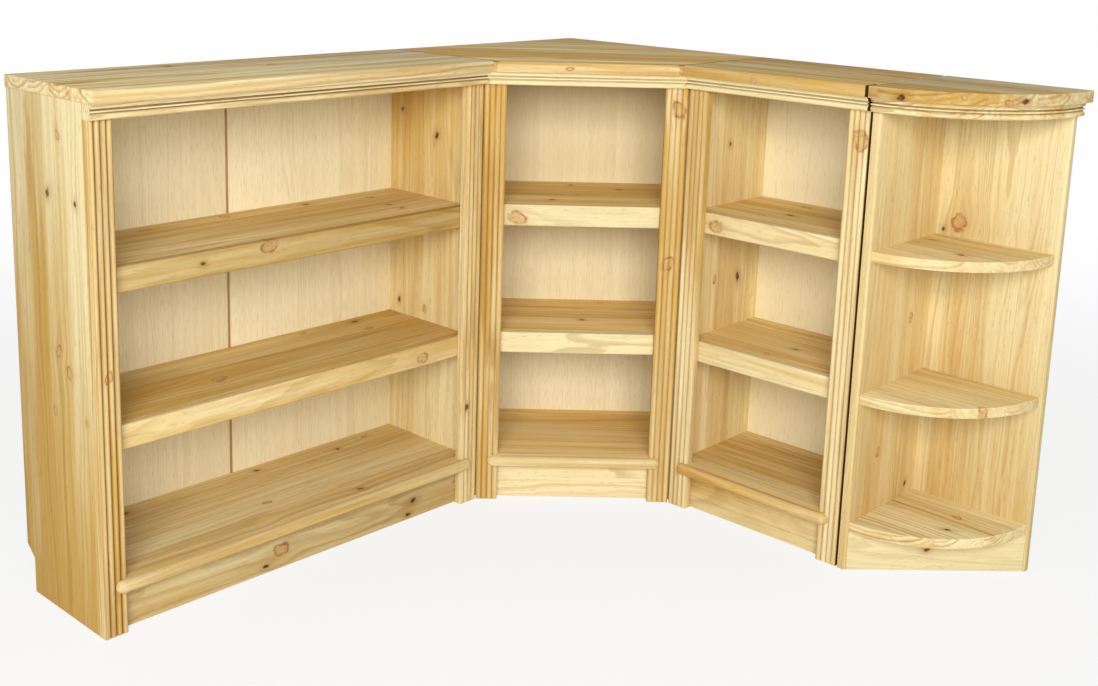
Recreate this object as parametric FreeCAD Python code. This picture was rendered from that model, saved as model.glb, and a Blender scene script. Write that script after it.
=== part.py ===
import FreeCAD, Part
import math
import os

# Corner shelf unit of four pine units: a left bookcase, a corner unit, a right bookcase and a
# quarter-round end unit.  Millimetres, +Z up.  The left wall runs along Y and the rear wall along X.

# Overall sizes
total_height = 1050.0
unit_depth = 300.0            # wall to the face of the pilasters
left_width = 985.0
right_width = 455.0
corner_leg = 625.0            # room corner to either neighbour, along the wall
joint_gap = 0.6               # corner unit to each neighbour
end_gap = 6.0                 # right bookcase to end unit

# Boards of the bookcases and of the corner unit
side_thickness = 18.0
shelf_thickness = 20.0
top_thickness = 24.0
top_overhang = 28.0           # top board past the pilaster face
outer_overhang = 3.0          # left top board past its outer side
housing_depth = 5.0           # shelf ends let into the sides
bottom_height = 112.0         # floor to the upper face of the bottom board
lower_shelf_height = 410.0
upper_shelf_height = 716.0
lip_height = 50.0
lip_thickness = 20.0
lip_setback = 2.0             # lips and plinth behind the front edge of the sides
lip_round = 5.0
plinth_thickness = 18.0

# Thin backs
back_thickness = 5.0
back_rebate = 9.0             # how far a back is let into a side
strip_width = 6.0             # joint strip between the two left backs
strip_flange = 1.0
strip_web = 1.6
corner_back_distance = 330.0  # room corner to the flat back of the corner unit

# Cut-out for the skirting board at the rear foot of each side
notch_height = 96.0
notch_depth = 28.0
notch_slant = 23.0

# Reeded pilasters
pilaster_width = 50.0
pilaster_thickness = 20.0
reed_count = 4
reed_rise = 3.6

# Half-round bead rail at the level of the bottom board
rail_height = 26.0
rail_shoulder = 3.0           # flat stretch behind the half round
rail_overlap_share = 0.5      # of the pilaster width

# Cornice under the top board, from top to bottom, measured forward from the pilaster face
cove_height = 9.0
cove_reach = 22.0
cove_foot = 13.0
upper_groove_height = 4.0
fillet_height = 3.0
lower_groove_height = 3.0
groove_depth = 4.0
cornice_bead_height = 11.0
cornice_bead_base = 8.0

# Quarter-round end unit
end_board = 18.0
end_shelf_thickness = 22.0
end_bottom_height = 107.0
end_lower_height = 396.0
end_upper_height = 706.0
end_shelf_inset = 8.0         # shelf edge behind the free edges of side and back
end_edge_round = 5.0
end_plinth_thickness = 18.0

# Dowels that hold the top boards
dowel_diameter = 8.0
dowel_sides = 8
dowel_in_top = 13.0
dowel_in_side = 21.0
dowel_clearance = 0.1
dowel_end_room = 1.0
dowel_depth_shares = (0.22, 0.74)
overrun = 10.0                # how far a cutter reaches past what it cuts

# Levels and planes worked out from the sizes above
top_level = total_height - top_thickness
cornice_height = (cove_height + upper_groove_height + fillet_height
                  + lower_groove_height + cornice_bead_height)
cornice_level = top_level - cornice_height
bottom_level = bottom_height - shelf_thickness
carcass_depth = unit_depth - pilaster_thickness
lip_face = carcass_depth - lip_setback
lip_rear = lip_face - lip_thickness
front_distance = (unit_depth + corner_leg) / math.sqrt(2)
front_width = (corner_leg - unit_depth) * math.sqrt(2)
rail_depth = rail_shoulder + rail_height / 2
half_turn_share = math.sqrt(0.5)
origin = FreeCAD.Vector(0, 0, 0)
up = FreeCAD.Vector(0, 0, 1)


def moved(shape, x, y):
    result = shape.copy()
    result.translate(FreeCAD.Vector(x, y, 0))
    return result


def turned(shape, degrees):
    """Turn about the vertical through the origin."""
    result = shape.copy()
    result.rotate(origin, up, degrees)
    return result


def mirrored(shape):
    """The other half of the corner unit: left wall and rear wall change places."""
    return shape.mirror(origin, FreeCAD.Vector(1, 1, 0))


def block(x0, x1, y0, y1, z0, z1):
    return Part.makeBox(x1 - x0, y1 - y0, z1 - z0, FreeCAD.Vector(x0, y0, z0))


def line(start, end):
    return Part.LineSegment(start, end).toShape()


def arc(start, middle, end):
    return Part.Arc(start, middle, end).toShape()


def polyline(points):
    return [line(a, b) for a, b in zip(points, points[1:])]


def extruded(edges, direction):
    return Part.Face(Part.Wire(edges)).extrude(direction)


def section(x, z):
    return FreeCAD.Vector(x, 0, z)


def plan(x, y, z=0.0):
    return FreeCAD.Vector(x, y, z)


# Pieces that repeat: each faces +X, with the wall at x = 0 and its length along +Y

def pilaster(face, y0):
    """Reeded strip on the front edge of a side, from the floor to the cornice."""
    rear = face - pilaster_thickness
    valley = face - reed_rise
    pitch = pilaster_width / reed_count
    edges = [line(plan(rear, y0), plan(valley, y0))]
    for reed in range(reed_count):
        start = y0 + reed * pitch
        crest = plan(face, start + pitch / 2)
        edges.append(arc(plan(valley, start), crest, plan(valley, start + pitch)))
    end = y0 + pilaster_width
    edges += polyline([plan(valley, end), plan(rear, end), plan(rear, y0)])
    return extruded(edges, up * cornice_level)


def lip(face, y0, y1, level):
    """Front strip of a shelf, with its lower front edge rounded."""
    rear = face - lip_thickness
    foot = level - lip_height
    bend = lip_round * (1 - half_turn_share)
    edges = polyline([section(face - lip_round, foot), section(rear, foot), section(rear, level),
                      section(face, level), section(face, foot + lip_round)])
    edges.append(arc(section(face, foot + lip_round), section(face - bend, foot + bend),
                     section(face - lip_round, foot)))
    return moved(extruded(edges, plan(0, y1 - y0)), 0, y0)


def cornice_edges(rear, face):
    """Closed section of the cornice: cove, groove, fillet, groove and bead."""
    reach = face + cove_reach
    foot = face + cove_foot
    floor = foot - groove_depth
    base = face + cornice_bead_base
    z1 = top_level - cove_height
    z2 = z1 - upper_groove_height
    z3 = z2 - fillet_height
    z4 = z3 - lower_groove_height
    bend = section(reach - (reach - foot) * half_turn_share, z1 + cove_height * half_turn_share)
    crest = section(base + cornice_bead_height / 2, z4 - cornice_bead_height / 2)
    edges = polyline([section(base, cornice_level), section(rear, cornice_level),
                      section(rear, top_level), section(reach, top_level)])
    edges.append(arc(section(reach, top_level), bend, section(foot, z1)))
    edges += polyline([section(foot, z1), section(floor, z1), section(floor, z2), section(foot, z2),
                       section(foot, z3), section(floor, z3), section(floor, z4), section(base, z4)])
    edges.append(arc(section(base, z4), crest, section(base, cornice_level)))
    return edges


def cornice(rear, face, y0, y1):
    return moved(extruded(cornice_edges(rear, face), plan(0, y1 - y0)), 0, y0)


def bead_rail(face, y0, y1):
    """Half-round rail on the pilaster faces, with both ends rounded back to the face."""
    foot = bottom_height - rail_height
    middle = bottom_height - rail_height / 2
    round_start = face + rail_shoulder
    edges = polyline([section(round_start, foot), section(face, foot),
                      section(face, bottom_height), section(round_start, bottom_height)])
    edges.append(arc(section(round_start, bottom_height), section(face + rail_depth, middle),
                     section(round_start, foot)))
    half = Part.Face(Part.Wire(edges))
    body = moved(half.extrude(plan(0, y1 - y0 - 2 * rail_depth)), 0, y0 + rail_depth)
    first = half.revolve(plan(face, 0), up, -90)
    last = half.revolve(plan(face, 0), up, 90)
    rail = body.fuse([moved(first, 0, y0 + rail_depth), moved(last, 0, y1 - rail_depth)])
    return rail.removeSplitter()


def skirting_cutter(y0, y1):
    outline = [section(-overrun, -overrun), section(notch_depth, -overrun),
               section(notch_depth, notch_height - notch_slant), section(0, notch_height),
               section(-overrun, notch_height), section(-overrun, -overrun)]
    return moved(extruded(polyline(outline), plan(0, y1 - y0)), 0, y0)


def rod(x, y, radius, z0, z1):
    """Upright rod with flat sides, for a dowel or its hole."""
    turn = 2 * math.pi / dowel_sides
    corners = [plan(x + radius * math.cos(side * turn), y + radius * math.sin(side * turn), z0)
               for side in range(dowel_sides)]
    return extruded(polyline(corners + corners[:1]), up * (z1 - z0))


def dowel(x, y, level):
    return rod(x, y, dowel_diameter / 2, level - dowel_in_side, level + dowel_in_top)


def dowel_hole(x, y, level):
    return rod(x, y, dowel_diameter / 2 + dowel_clearance, level - dowel_in_side - dowel_end_room,
               level + dowel_in_top + dowel_end_room)


def doweled(boards, places, level):
    """Drill the boards at the places and return them with the group of dowels."""
    holes = [dowel_hole(x, y, level) for x, y in places]
    drilled = [board.cut(holes) for board in boards]
    return drilled, Part.makeCompound([dowel(x, y, level) for x, y in places])


def straight_unit(name, width, ends, top_start, split_back):
    """A bookcase that faces +X and runs from y = 0 to its width."""
    inner0 = side_thickness
    inner1 = width - side_thickness
    boards = {
        "bottom_board": block(back_thickness, carcass_depth, inner0 - housing_depth,
                              inner1 + housing_depth, bottom_level, bottom_height)}
    levels = {"lower_shelf": lower_shelf_height, "upper_shelf": upper_shelf_height}
    for shelf, level in levels.items():
        boards[shelf] = block(back_thickness, lip_rear, inner0 - housing_depth,
                              inner1 + housing_depth, level - shelf_thickness, level)
    backs = straight_backs(inner0 - back_rebate, inner1 + back_rebate, split_back)
    sides = []
    for y0, y1 in ((0, inner0), (inner1, width)):
        side = block(0, carcass_depth, y0, y1, 0, top_level)
        side = side.cut([skirting_cutter(y0, y1)] + list(boards.values()) + list(backs.values()))
        sides.append(side)
    tongue = block(carcass_depth, unit_depth, pilaster_width, width - pilaster_width,
                   bottom_level, bottom_height)
    boards["bottom_board"] = boards["bottom_board"].fuse(tongue).removeSplitter()
    if split_back:
        boards = {key: board.cut(backs["back_joint_strip"]) for key, board in boards.items()}
    top = block(0, unit_depth + top_overhang, top_start, width, top_level, total_height)
    places = [(share * carcass_depth, y) for share in dowel_depth_shares
              for y in (side_thickness / 2, width - side_thickness / 2)]
    (top, sides[0], sides[1]), dowels = doweled([top] + sides, places, top_level)
    overlap = pilaster_width * (1 - rail_overlap_share)
    pieces = {
        ends[0] + "_side": sides[0],
        ends[1] + "_side": sides[1],
        ends[0] + "_pilaster": pilaster(unit_depth, 0),
        ends[1] + "_pilaster": pilaster(unit_depth, width - pilaster_width),
        "top_board": top,
        "cornice": cornice(carcass_depth, unit_depth, 0, width),
        "plinth": block(lip_face - plinth_thickness, lip_face, inner0, inner1, 0, bottom_level),
        "bead_rail": bead_rail(unit_depth, overlap, width - overlap),
        "top_dowels": dowels}
    for shelf, level in levels.items():
        pieces[shelf + "_lip"] = lip(lip_face, inner0, inner1, level)
    pieces.update(boards)
    pieces.update(backs)
    return {name + "_" + key: shape for key, shape in pieces.items()}


def straight_backs(y0, y1, split_back):
    """One thin back, or two that meet on a T-shaped joint strip."""
    if not split_back:
        return {"back_panel": block(0, back_thickness, y0, y1, bottom_level, top_level)}
    middle = (y0 + y1) / 2
    web = block(0, back_thickness, middle - strip_web / 2, middle + strip_web / 2,
                bottom_level, top_level)
    flange = block(back_thickness, back_thickness + strip_flange, middle - strip_width / 2,
                   middle + strip_width / 2, bottom_level, top_level)
    return {
        "outer_back_panel": block(0, back_thickness, y0, middle - strip_web / 2,
                                  bottom_level, top_level),
        "inner_back_panel": block(0, back_thickness, middle + strip_web / 2, y1,
                                  bottom_level, top_level),
        "back_joint_strip": web.fuse(flange).removeSplitter()}


def diagonal_slab(near, far, z0, z1):
    """All that lies between two distances from the room corner, along the diagonal."""
    return turned(block(near, far, -corner_leg, corner_leg, z0, z1), -45)


def wall_square(wall, leg, z0, z1):
    """Square against both walls: from wall off each of them to leg along each."""
    return block(wall, leg, -leg, -wall, z0, z1)


def corner_unit():
    """Pentagonal unit in the room corner, with its front and its back across the diagonal."""
    inner = corner_leg - side_thickness
    rear_face = front_distance - pilaster_thickness
    face = rear_face - lip_setback
    levels = {"lower_shelf": lower_shelf_height, "upper_shelf": upper_shelf_height}
    half_front = front_width / 2
    boards = {}
    for key, level, front in (("bottom_board", bottom_height, rear_face),
                              ("lower_shelf", lower_shelf_height, face - lip_thickness),
                              ("upper_shelf", upper_shelf_height, face - lip_thickness)):
        low = level - shelf_thickness
        outline = wall_square(back_thickness, inner + housing_depth, low, level)
        boards[key] = outline.common(diagonal_slab(corner_back_distance, front, low, level))
    rear_strip = block(0, inner + back_rebate, -back_thickness, 0, bottom_level, top_level)
    rear_strip = rear_strip.common(
        diagonal_slab(corner_back_distance, front_distance, bottom_level, top_level))
    side = block(inner, corner_leg, -unit_depth, 0, 0, top_level)
    side = side.common(diagonal_slab(0, rear_face, 0, top_level))
    notch = turned(skirting_cutter(inner - overrun, corner_leg + overrun), -90)
    side = side.cut([notch, rear_strip] + list(boards.values()))
    tongue = block(rear_face, front_distance, pilaster_width - half_front,
                   half_front - pilaster_width, bottom_level, bottom_height)
    boards["bottom_board"] = boards["bottom_board"].fuse(turned(tongue, -45)).removeSplitter()
    reach = unit_depth + top_overhang * math.sqrt(2)
    outline = [plan(0, 0), plan(corner_leg, 0), plan(corner_leg, -reach), plan(reach, -corner_leg),
               plan(0, -corner_leg), plan(0, 0)]
    top = extruded(polyline(outline), up * top_thickness)
    top.translate(up * top_level)
    places = [(corner_leg - side_thickness / 2, -share * carcass_depth)
              for share in dowel_depth_shares]
    places += [(-y, -x) for x, y in places]
    sides = [mirrored(side), side]
    (top, sides[0], sides[1]), dowels = doweled([top] + sides, places, top_level)
    moulding = turned(cornice(rear_face, front_distance, -corner_leg, corner_leg), -45)
    moulding = moulding.common(wall_square(0, corner_leg, cornice_level, top_level))
    opening = half_front - pilaster_width * (1 - rail_overlap_share)
    plinth = diagonal_slab(face - plinth_thickness, face, 0, bottom_level)
    flat_back = diagonal_slab(corner_back_distance - back_thickness, corner_back_distance,
                              bottom_level, top_level)
    pieces = {
        "left_side": sides[0],
        "right_side": sides[1],
        "left_pilaster": turned(pilaster(front_distance, -half_front), -45),
        "right_pilaster": turned(pilaster(front_distance, half_front - pilaster_width), -45),
        "top_board": top,
        "cornice": moulding,
        "plinth": plinth.common(wall_square(0, inner, 0, bottom_level)),
        "bead_rail": turned(bead_rail(front_distance, -opening, opening), -45),
        "flat_back_panel": flat_back.common(wall_square(0, corner_leg, bottom_level, top_level)),
        "left_back_strip": mirrored(rear_strip),
        "right_back_strip": rear_strip,
        "top_dowels": dowels}
    for shelf, level in levels.items():
        strip = turned(lip(face, -corner_leg, corner_leg, level), -45)
        pieces[shelf + "_lip"] = strip.common(wall_square(0, inner, level - lip_height, level))
    pieces.update(boards)
    return {"corner_" + key: shape for key, shape in pieces.items()}


def upright_edges(shape, places):
    """The vertical edges of a board that stand on the given plan points."""
    found = []
    for edge in shape.Edges:
        ends = [vertex.Point for vertex in edge.Vertexes]
        upright = abs(ends[0].x - ends[-1].x) + abs(ends[0].y - ends[-1].y) < dowel_clearance
        if upright and any((ends[0] - plan(x, y, ends[0].z)).Length < dowel_clearance
                           for x, y in places):
            found.append(edge)
    return found


def quarter_disc(x0, y0, x_centre, y_centre, radius, z0, z1):
    """Board with straight sides on x0 and y0 and a quarter-round front about a centre."""
    bend = radius * half_turn_share
    front = plan(x_centre, y_centre - radius, z0)
    tip = plan(x_centre + radius, y_centre, z0)
    edges = polyline([tip, plan(x_centre + radius, y0, z0), plan(x0, y0, z0),
                      plan(x0, y_centre - radius, z0), front])
    edges.append(arc(front, plan(x_centre + bend, y_centre - bend, z0), tip))
    return extruded(edges, up * (z1 - z0))


def end_unit():
    """Open quarter-round unit: x = 0 is its side towards the right bookcase, y = 0 the wall."""
    x_centre = end_board / 2
    y_centre = -end_board
    panel_radius = unit_depth - end_board
    shelf_radius = panel_radius - end_shelf_inset
    top_radius = panel_radius + top_overhang
    edge = x_centre + panel_radius
    levels = {"bottom_shelf": end_bottom_height, "lower_shelf": end_lower_height,
              "upper_shelf": end_upper_height}
    shelves = {}
    for key, level in levels.items():
        low = level - end_shelf_thickness
        disc = quarter_disc(0, 0, x_centre, y_centre, shelf_radius, low, level)
        inside = block(end_board - housing_depth, edge, -unit_depth, housing_depth - end_board,
                       low, level)
        shelves[key] = disc.common(inside)
    side = block(0, end_board, -unit_depth, 0, 0, cornice_level)
    side = side.makeFillet(end_edge_round, upright_edges(side, [(end_board, -unit_depth)]))
    back = block(end_board, edge, -end_board, 0, 0, cornice_level)
    back = back.makeFillet(end_edge_round, upright_edges(back, [(edge, -end_board)]))
    side = side.cut(list(shelves.values()))
    back = back.cut(list(shelves.values()))
    moulding = turned(Part.Face(Part.Wire(cornice_edges(0, panel_radius))), -90)
    ring = moved(moulding.revolve(origin, up, 90), x_centre, y_centre)
    front = moved(turned(cornice(0, panel_radius, 0, x_centre), -90), 0, y_centre)
    outer = moved(cornice(0, panel_radius, 0, end_board), x_centre, y_centre)
    inner = block(0, x_centre, y_centre, 0, cornice_level, top_level)
    moulding = ring.fuse([front, outer, inner]).removeSplitter()
    top = quarter_disc(0, 0, x_centre, y_centre, top_radius, top_level, total_height)
    places = [(end_board / 2, -share * unit_depth) for share in dowel_depth_shares]
    places += [(end_board + share * (edge - end_board), -end_board / 2)
               for share in dowel_depth_shares]
    (moulding, side, back), dowels = doweled([moulding, side, back], places, cornice_level)
    pieces = {
        "side_panel": side,
        "back_panel": back,
        "top_board": top,
        "cornice_board": moulding,
        "plinth": end_plinth(edge - end_edge_round - end_board,
                             unit_depth - end_edge_round - end_board),
        "top_dowels": dowels}
    pieces.update(shelves)
    return {"end_" + key: shape for key, shape in pieces.items()}


def end_plinth(along_back, along_side):
    """Straight board across the quarter round, bevelled against the side and the back."""
    height = end_bottom_height - end_shelf_thickness
    corner_distance = along_back * along_side / math.hypot(along_back, along_side)
    rear_share = 1 - end_plinth_thickness / corner_distance
    outline = [plan(end_board, -end_board - along_side), plan(end_board + along_back, -end_board),
               plan(end_board + rear_share * along_back, -end_board),
               plan(end_board, -end_board - rear_share * along_side),
               plan(end_board, -end_board - along_side)]
    return extruded(polyline(outline), up * height)


def assembly():
    """All units in the room corner, then centred on the floor under the whole."""
    left_end = corner_leg + joint_gap + left_width
    right_start = corner_leg + joint_gap
    end_start = right_start + right_width + end_gap
    left = straight_unit("left", left_width, ("outer", "inner"), -outer_overhang, True)
    right = straight_unit("right", right_width, ("inner", "outer"), 0, False)
    pieces = {key: moved(shape, 0, -left_end) for key, shape in left.items()}
    pieces.update(corner_unit())
    pieces.update({key: moved(turned(shape, -90), right_start, 0) for key, shape in right.items()})
    pieces.update({key: moved(shape, end_start, 0) for key, shape in end_unit().items()})
    reach_x = end_start + end_board / 2 + unit_depth - end_board + top_overhang
    reach_y = left_end + outer_overhang
    return {key: moved(shape, -reach_x / 2, reach_y / 2) for key, shape in pieces.items()}


os.makedirs("parts", exist_ok=True)
for node, solid in assembly().items():
    solid.exportStep("parts/" + node + ".step")
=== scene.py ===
import math
import random
from collections import namedtuple

import bmesh
import bpy
from mathutils import Matrix, Vector


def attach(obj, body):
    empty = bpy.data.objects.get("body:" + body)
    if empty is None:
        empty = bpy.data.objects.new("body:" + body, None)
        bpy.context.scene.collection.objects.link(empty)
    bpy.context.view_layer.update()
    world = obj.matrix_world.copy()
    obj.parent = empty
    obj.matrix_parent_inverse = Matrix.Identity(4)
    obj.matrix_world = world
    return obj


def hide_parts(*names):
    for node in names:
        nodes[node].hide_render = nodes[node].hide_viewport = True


# Looks of a corner shelf unit in solid pine.  Metres, +Z up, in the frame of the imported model.

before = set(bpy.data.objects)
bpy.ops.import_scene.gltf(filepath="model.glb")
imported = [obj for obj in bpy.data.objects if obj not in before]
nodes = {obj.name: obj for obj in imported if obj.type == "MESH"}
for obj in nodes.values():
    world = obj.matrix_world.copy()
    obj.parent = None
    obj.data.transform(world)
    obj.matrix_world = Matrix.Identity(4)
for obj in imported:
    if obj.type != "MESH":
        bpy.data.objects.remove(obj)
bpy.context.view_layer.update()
mm = 0.001

# Directions: the left wall runs along Y, the rear wall along X, the corner front on the slant
X = Vector((1, 0, 0))
Y = Vector((0, 1, 0))
Z = Vector((0, 0, 1))
SLANT = Vector((1, 1, 0)).normalized()
SLANT_OUT = Vector((1, -1, 0)).normalized()

# Camera at the photograph's angle
IMAGE_WIDTH = 1098
SENSOR_WIDTH = 36.0
FOCAL_PIXELS = 1389
CAMERA_PLACE = (1.793, -2.026, 1.356)
CAMERA_PITCH = 11.83
CAMERA_ROLL = 1.38
CAMERA_YAW = 44.43
CAMERA_SHIFT = (0.052, -0.12)
CAMERA_REACH = (0.05, 200)

# Light: soft boxes as place, target, width and height, power; and the level of the room
FRONT_LIGHT = ((2.9, -3.3, 2.3), (-0.15, 0.2, 0.55), (2.8, 1.8), 208)
REAR_LIGHT = ((-3.0, 3.3, 0.55), (0, 0, 0.5), (2.6, 0.8), 60)
ROOM_LEVEL = 0.4
FLOOR_COLOUR = (0.86, 0.86, 0.85, 1)
FLOOR_WHITE = 0.78
FLOOR_FADE = (1.6, 4.5)
FLOOR_RADIUS = 60.0
FLOOR_STEPS = 64
FLOOR_DROP = 0.5 * mm

# Colours of the wood, linear, and the most that any part of one is raised to
WHITEST = 0.95
PALE_WOOD = (0.86, 0.735, 0.42, 1)
GOLD_WOOD = (0.63, 0.39, 0.105, 1)
LATE_WOOD = (0.36, 0.17, 0.033, 1)
KNOT_HALO = (0.66, 0.42, 0.16, 1)
LIVE_KNOT = (0.36, 0.15, 0.045, 1)
DEAD_KNOT = (0.10, 0.042, 0.014, 1)
RED_KNOT = (0.24, 0.085, 0.025, 1)
# Stain and painted shade in grooves and creases; also the dark line where tops meet
STAIN_SHADE_AND_JOINT_BROWN = (0.17, 0.08, 0.02, 1)
WORN_EDGE = (0.90, 0.76, 0.45, 1)
# Painted shadow for faces in the gap beside the end unit
GAP_SHADOW = (0.07, 0.033, 0.01, 1)
PALE_BACK = (0.95, 0.86, 0.60, 1)
BACK_FIBRE = (0.82, 0.69, 0.42, 1)
BACK_LATE = (0.68, 0.53, 0.27, 1)
BACK_REAR = (0.40, 0.26, 0.13, 1)
BROWN_STRIP = (0.50, 0.32, 0.13, 1)
BEECH = (0.66, 0.43, 0.24, 1)
NAIL_STEEL = (0.36, 0.35, 0.33, 1)
DULL_STEEL = (0.20, 0.18, 0.16, 1)

# How edges are softened
MERGE_DISTANCE = 0.01 * mm
LEVEL_ANGLE = math.radians(0.4)
SHARP_ANGLE = math.radians(36)
SHORT_EDGE = 4 * mm
EDGE_STEPS = 3
EDGE_ROUND = 0.5
EDGE_WEAR = 0.7
TOP_WEAR = 0.15

# Reeded pilasters; the inner share tells the points of the front from those of the ends and the rear
REEDS = 4
REED_RISE = 3.6 * mm
REED_STEPS = 8
REED_INNER = 0.499

# How dark the grooves of pilasters and cornices are: their stain and painted shade in the hollows
GROOVE_DEPTH = 0.4
GROOVE_DEPTHS = {"left_outer_pilaster": 0.95, "left_cornice": 0.72, "right_cornice": 0.5,
                 "end_cornice_board": 0.6}

# Nails that hold the thin backs
NAIL_RADIUS = 2.6 * mm
NAIL_RISE_SHARE = 0.3
NAIL_INSET = 6 * mm
NAIL_SPACING = 140 * mm
NAIL_SEGMENTS = 10
NAIL_RINGS = 4


class Socket:
    """An output of a node: arithmetic on it adds Math nodes to its graph."""

    def __init__(self, graph, socket):
        self.graph = graph
        self.socket = socket

    def out(self, name):
        return Socket(self.graph, self.socket.node.outputs[name])

    def maths(self, operation, *values):
        return self.graph.node("ShaderNodeMath", {"operation": operation}, values)

    def __add__(self, other):
        return self.maths("ADD", self, other)

    def __sub__(self, other):
        return self.maths("SUBTRACT", self, other)

    def __rsub__(self, other):
        return self.maths("SUBTRACT", other, self)

    def __mul__(self, other):
        return self.maths("MULTIPLY", self, other)

    def __truediv__(self, other):
        return self.maths("DIVIDE", self, other)

    def __rtruediv__(self, other):
        return self.maths("DIVIDE", other, self)

    def __gt__(self, other):
        return self.maths("GREATER_THAN", self, other)

    __radd__ = __add__
    __rmul__ = __mul__

    def floor(self):
        return self.maths("FLOOR", self)

    def root(self):
        return self.maths("SQRT", self)

    def least(self, other):
        return self.maths("MINIMUM", self, other)

    def most(self, other):
        return self.maths("MAXIMUM", self, other)

    def between(self, low, high):
        """0 to 1 spread over a range."""
        return self * (high - low) + low

    def bell(self, width):
        """1 at zero, falling away over the width."""
        power = self * self * (-1 / width ** 2)
        return power.maths("EXPONENT", power)

    def step(self, start, end):
        """0 before start and 1 after end, with soft ends; start may lie above end."""
        return self.graph.node("ShaderNodeMapRange", {"interpolation_type": "SMOOTHSTEP"},
                               {0: self, 1: start, 2: end})


class Graph:
    """A node tree in the making."""

    def __init__(self, tree):
        self.tree = tree
        tree.nodes.clear()

    def node(self, kind, settings=None, inputs=(), output=0):
        made = self.tree.nodes.new(kind)
        for key, value in (settings or {}).items():
            setattr(made, key, value)
        for key, value in inputs.items() if isinstance(inputs, dict) else enumerate(inputs):
            if isinstance(value, Socket):
                self.tree.links.new(value.socket, made.inputs[key])
            else:
                made.inputs[key].default_value = value
        return Socket(self, made.outputs[output]) if made.outputs else None

    def split(self, vector):
        parts = self.node("ShaderNodeSeparateXYZ", {}, [vector])
        return parts, parts.out("Y"), parts.out("Z")

    def join(self, *parts):
        return self.node("ShaderNodeCombineXYZ", {}, parts)

    def vector(self, operation, *values, output=0):
        return self.node("ShaderNodeVectorMath", {"operation": operation}, values, output)

    def seen(self):
        """1 for rays that show the background: from the camera, in gloss or through glass."""
        rays = self.node("ShaderNodeLightPath")
        seen = rays.out("Is Camera Ray")
        for kind in ("Is Glossy Ray", "Is Transmission Ray"):
            seen = seen.most(rays.out(kind))
        return seen


class Finish(Graph):
    """A procedural material in the making."""

    def __init__(self, name):
        self.material = bpy.data.materials.new(name)
        self.material.use_nodes = True
        super().__init__(self.material.node_tree)

    def blend(self, share, first, second):
        return self.node("ShaderNodeMix", {"data_type": "RGBA"}, {0: share, 6: first, 7: second}, 2)

    def scaled(self, colour, factor):
        """A colour of wood made lighter or darker; red, its strongest part, stays below white."""
        red, _, _ = self.split(colour)
        factor = (WHITEST / red).least(factor)
        return self.node("ShaderNodeVectorMath", {"operation": "SCALE"}, {0: colour, "Scale": factor})

    def noise(self, place, pattern):
        return self.node("ShaderNodeTexNoise", {},
                         {"Vector": self.vector("MULTIPLY", place, pattern.waves), "Scale": 1.0,
                          "Detail": pattern.detail, "Roughness": pattern.roughness})

    def chance(self, number, output="Value"):
        return self.node("ShaderNodeTexWhiteNoise", {"noise_dimensions": "1D"}, {"W": number}, output)

    def place(self):
        return self.node("ShaderNodeTexCoord", output="Object")

    def local(self, centre, turn):
        """Object coordinates in a board's own directions: along, across, through."""
        return self.node("ShaderNodeMapping", {"vector_type": "TEXTURE"},
                         {"Vector": self.place(), "Location": centre, "Rotation": turn})

    def attribute(self, name):
        return self.node("ShaderNodeAttribute", {"attribute_name": name}, output="Fac")

    def surface(self, colour, roughness, height, depth, **constants):
        bump = self.node("ShaderNodeBump", {},
                         {"Height": height, "Distance": depth, "Strength": RELIEF_STRENGTH})
        shader = self.node("ShaderNodeBsdfPrincipled", {},
                           {"Base Color": colour, "Roughness": roughness, "Normal": bump, **constants})
        self.node("ShaderNodeOutputMaterial", {}, {"Surface": shader})
        return self.material


# Boards: which way the grain runs, and what each kind of board is like

Grain = namedtuple("Grain", "along through")
Timber = namedtuple("Timber", "stave tone figure stripes ring contrast rounding")
Shade = namedtuple("Shade", "tone slope lightness", defaults=(0.0, 1.0))
Pattern = namedtuple("Pattern", "waves detail roughness")

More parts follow.
